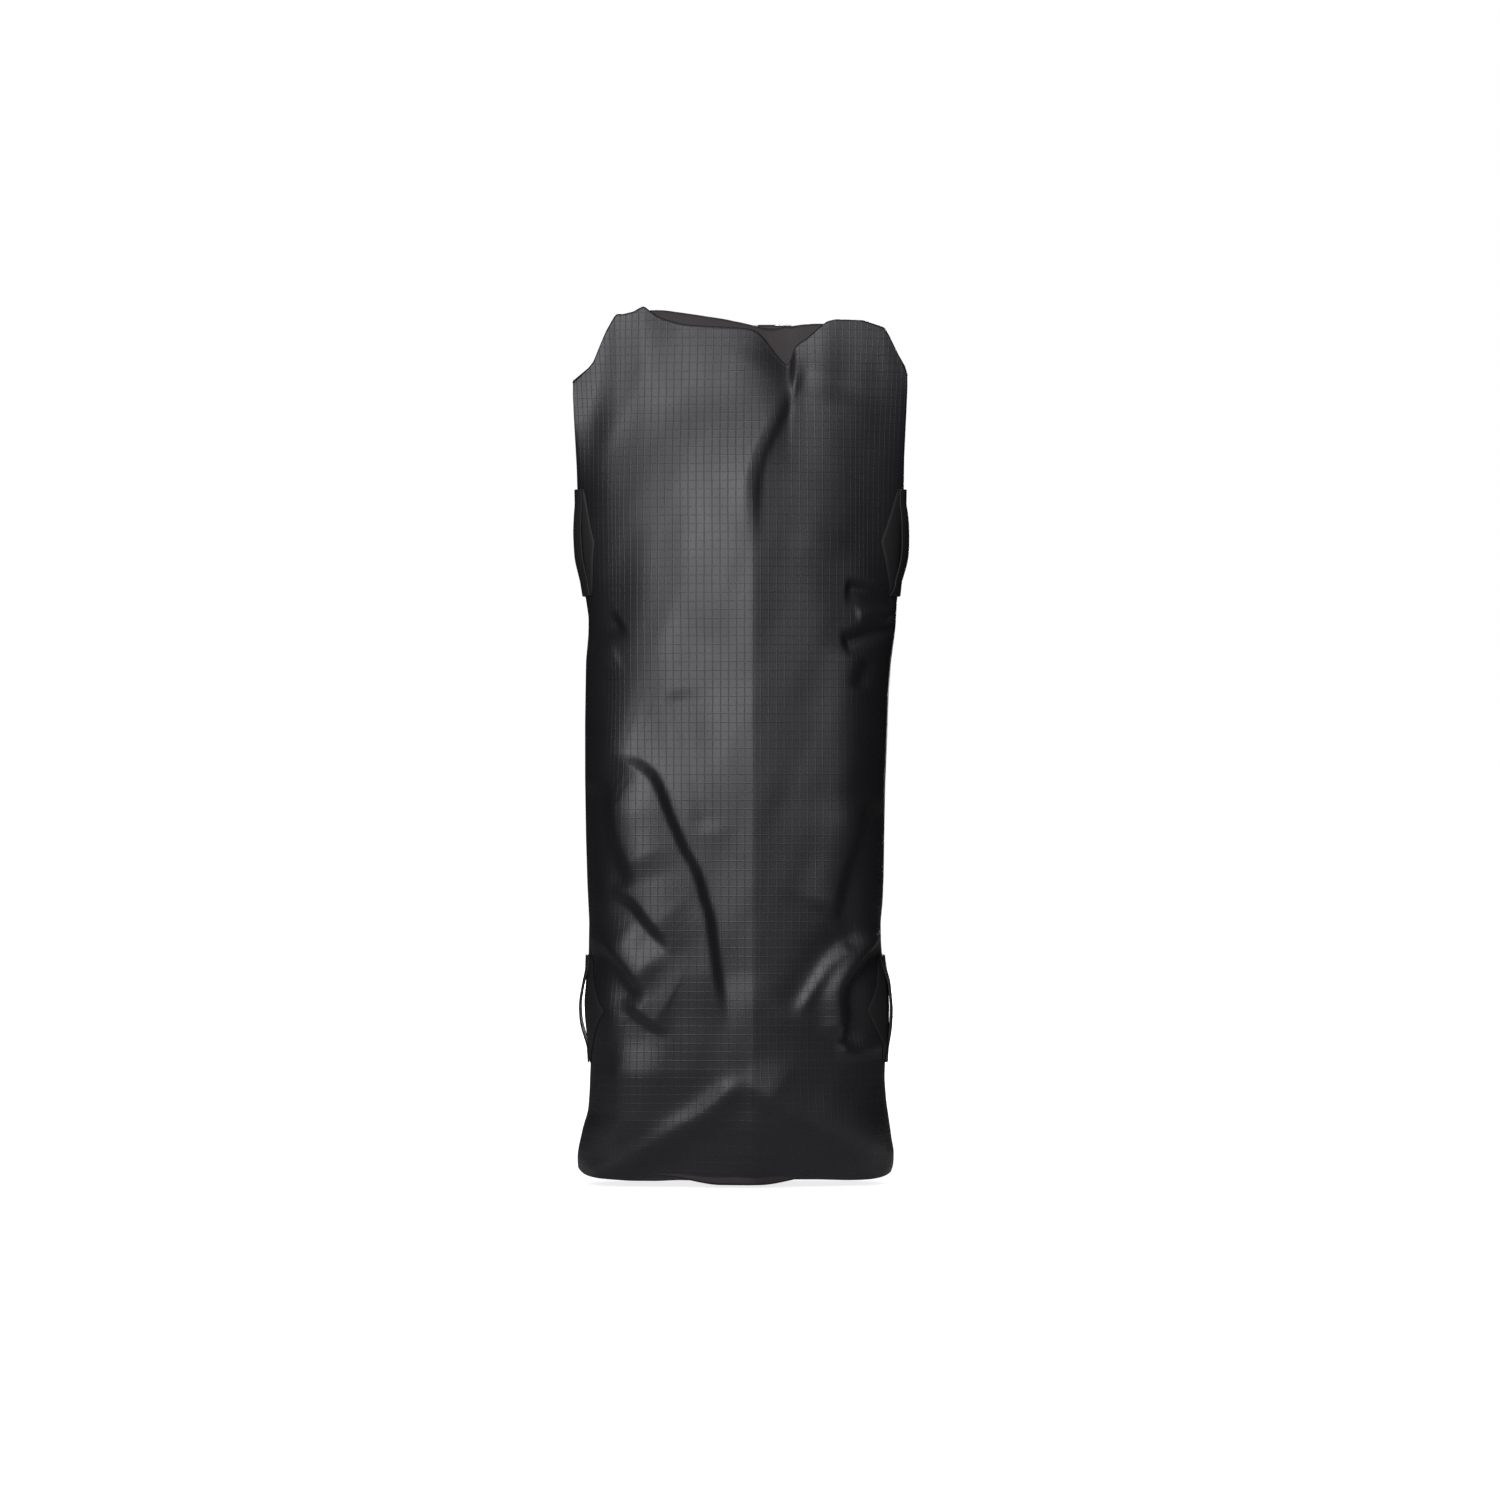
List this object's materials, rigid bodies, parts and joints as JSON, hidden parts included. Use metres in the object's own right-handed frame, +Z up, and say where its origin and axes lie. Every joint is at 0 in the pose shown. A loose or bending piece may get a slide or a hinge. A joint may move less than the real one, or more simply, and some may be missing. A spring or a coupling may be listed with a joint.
{
  "type": "film changing bag",
  "caption": "Tall light-tight changing bag of coated ripstop cloth with a rolled and buckled mouth, an inner lining, a flat base and side lash loops.",
  "frame": {"origin": "on the ground under the middle of the base, which is the middle of the bag's width and depth", "axes": "+Z up from the base to the rolled mouth; +X to the right of the plain near side, which faces -Y; the roll and its buckle are on +Y"},
  "size_m": [0.2556, 0.124, 0.655],
  "materials": {
    "ripstop": "coated charcoal ripstop cloth with a square grid, slightly glossy",
    "smooth_cloth": "smooth coated brown-black cloth with a soft sheen",
    "lining": "matt black opaque lining cloth",
    "seam_tape": "heat-sealed black tape, satin",
    "lash": "matt black moulded rubbery sheet",
    "webbing": "woven black webbing",
    "buckle_plastic": "fine-grained black moulded plastic",
    "stiffener": "smooth black plastic strip"
  },
  "bodies": {
    "bag": {"back_panel_left": "ripstop", "back_panel_right": "ripstop", "front_panel": "ripstop", "collar_fold": "smooth_cloth", "base_panel": "smooth_cloth", "lining_back": "lining", "lining_front": "lining", "lining_base": "lining", "centre_seam_tape": "seam_tape", "side_seam_tape_left": "seam_tape", "side_seam_tape_right": "seam_tape", "lash_patch_lower_left": "lash", "lash_patch_lower_right": "lash", "lash_patch_upper_left": "lash", "lash_patch_upper_right": "lash", "lash_loop_lower_left": "lash", "lash_loop_lower_right": "lash", "lash_loop_upper_left": "lash", "lash_loop_upper_right": "lash"},
    "roll_top": {"rolled_collar": "smooth_cloth", "mouth_stiffener_inner": "stiffener", "mouth_stiffener_outer": "stiffener", "strap_left": "webbing", "strap_right": "webbing", "buckle_socket": "buckle_plastic"},
    "buckle_plug": {"buckle_plug": "buckle_plastic"},
    "prong_upper": {"buckle_prong_upper": "buckle_plastic"},
    "prong_lower": {"buckle_prong_lower": "buckle_plastic"}
  },
  "joints": [
    {"name": "roll_lift", "type": "hinge", "parent": "bag", "child": "roll_top", "pos_m": [0.006, 0, 0.6505], "axis": [1, 0, 0], "range_deg": [0, 150]},
    {"name": "plug_release", "type": "slide", "parent": "roll_top", "child": "buckle_plug", "axis": [-1, 0, 0], "range_m": [0, 0.03], "deforming": ["strap_left", "buckle_prong_upper", "buckle_prong_lower"]},
    {"name": "prong_squeeze", "type": "hinge", "parent": "buckle_plug", "child": "prong_upper", "pos_m": [0.00575, 0.02287, 0.63716], "axis": [0, 0.9749, 0.2225], "range_deg": [0, 10], "stiffness_Nm_per_rad": 0.05},
    {"name": "prong_squeeze_lower", "type": "hinge", "parent": "buckle_plug", "child": "prong_lower", "pos_m": [0.00575, 0.02635, 0.62195], "axis": [0, 0.9749, 0.2225], "range_deg": [-10, 0], "stiffness_Nm_per_rad": 0.05}
  ],
  "couplings": [
    {"joint": "prong_squeeze_lower", "follows": "prong_squeeze", "ratio": -1}
  ]
}
